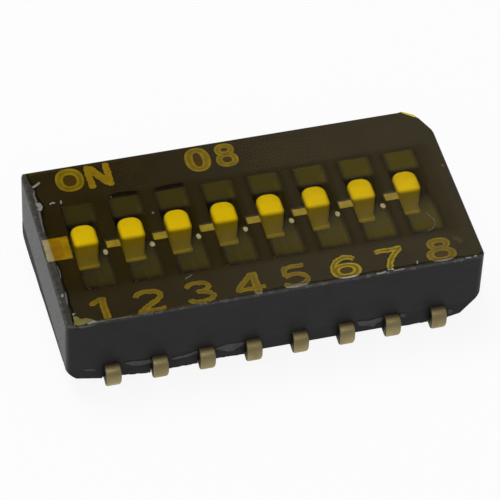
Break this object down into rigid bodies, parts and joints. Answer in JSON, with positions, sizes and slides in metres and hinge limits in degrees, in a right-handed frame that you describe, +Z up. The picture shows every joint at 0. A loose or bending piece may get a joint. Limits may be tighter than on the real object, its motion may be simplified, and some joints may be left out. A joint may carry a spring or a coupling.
{
  "type": "dip switch",
  "caption": "Low surface-mount DIP switch: a row of small recessed slide knobs in a black housing on J-shaped leads, sealed on top with clear amber film.",
  "frame": {"origin": "middle of the body in plan, at the plane of the lead feet that rests on the circuit board", "axes": "+X along the row of switches from switch 1 to the last, +Y towards the side marked ON, +Z up from the board"},
  "size_m": [0.0114, 0.0062, 0.0025],
  "materials": {
    "black_base": "dark moulded plastic, satin",
    "black_cover": "dark moulded plastic, fine satin grain, printed in white",
    "white_knob": "white moulded plastic, satin",
    "amber_film": "thin clear amber film with adhesive, glossy",
    "lead_metal": "gold-plated copper alloy, dull",
    "contact_metal": "gold-plated sprung copper alloy"
  },
  "bodies": {
    "housing": {"base": "black_base", "cover": "black_cover", "seal_film": "amber_film", "front_lead_1": "lead_metal", "front_lead_2": "lead_metal", "front_lead_3": "lead_metal", "front_lead_4": "lead_metal", "front_lead_5": "lead_metal", "front_lead_6": "lead_metal", "front_lead_7": "lead_metal", "front_lead_8": "lead_metal", "rear_lead_1": "lead_metal", "rear_lead_2": "lead_metal", "rear_lead_3": "lead_metal", "rear_lead_4": "lead_metal", "rear_lead_5": "lead_metal", "rear_lead_6": "lead_metal", "rear_lead_7": "lead_metal", "rear_lead_8": "lead_metal"},
    "switch_1": {"slider_1": "white_knob", "contact_1": "contact_metal"},
    "switch_2": {"slider_2": "white_knob", "contact_2": "contact_metal"},
    "switch_3": {"slider_3": "white_knob", "contact_3": "contact_metal"},
    "switch_4": {"slider_4": "white_knob", "contact_4": "contact_metal"},
    "switch_5": {"slider_5": "white_knob", "contact_5": "contact_metal"},
    "switch_6": {"slider_6": "white_knob", "contact_6": "contact_metal"},
    "switch_7": {"slider_7": "white_knob", "contact_7": "contact_metal"},
    "switch_8": {"slider_8": "white_knob", "contact_8": "contact_metal"}
  },
  "joints": [
    {"name": "slide_1", "type": "slide", "parent": "housing", "child": "switch_1", "axis": [0, -1, 0], "range_m": [0, 0.00126]},
    {"name": "slide_2", "type": "slide", "parent": "housing", "child": "switch_2", "axis": [0, -1, 0], "range_m": [0, 0.00126]},
    {"name": "slide_3", "type": "slide", "parent": "housing", "child": "switch_3", "axis": [0, -1, 0], "range_m": [0, 0.00126]},
    {"name": "slide_4", "type": "slide", "parent": "housing", "child": "switch_4", "axis": [0, -1, 0], "range_m": [0, 0.00126]},
    {"name": "slide_5", "type": "slide", "parent": "housing", "child": "switch_5", "axis": [0, -1, 0], "range_m": [0, 0.00126]},
    {"name": "slide_6", "type": "slide", "parent": "housing", "child": "switch_6", "axis": [0, -1, 0], "range_m": [0, 0.00126]},
    {"name": "slide_7", "type": "slide", "parent": "housing", "child": "switch_7", "axis": [0, -1, 0], "range_m": [0, 0.00126]},
    {"name": "slide_8", "type": "slide", "parent": "housing", "child": "switch_8", "axis": [0, -1, 0], "range_m": [0, 0.00126]}
  ]
}
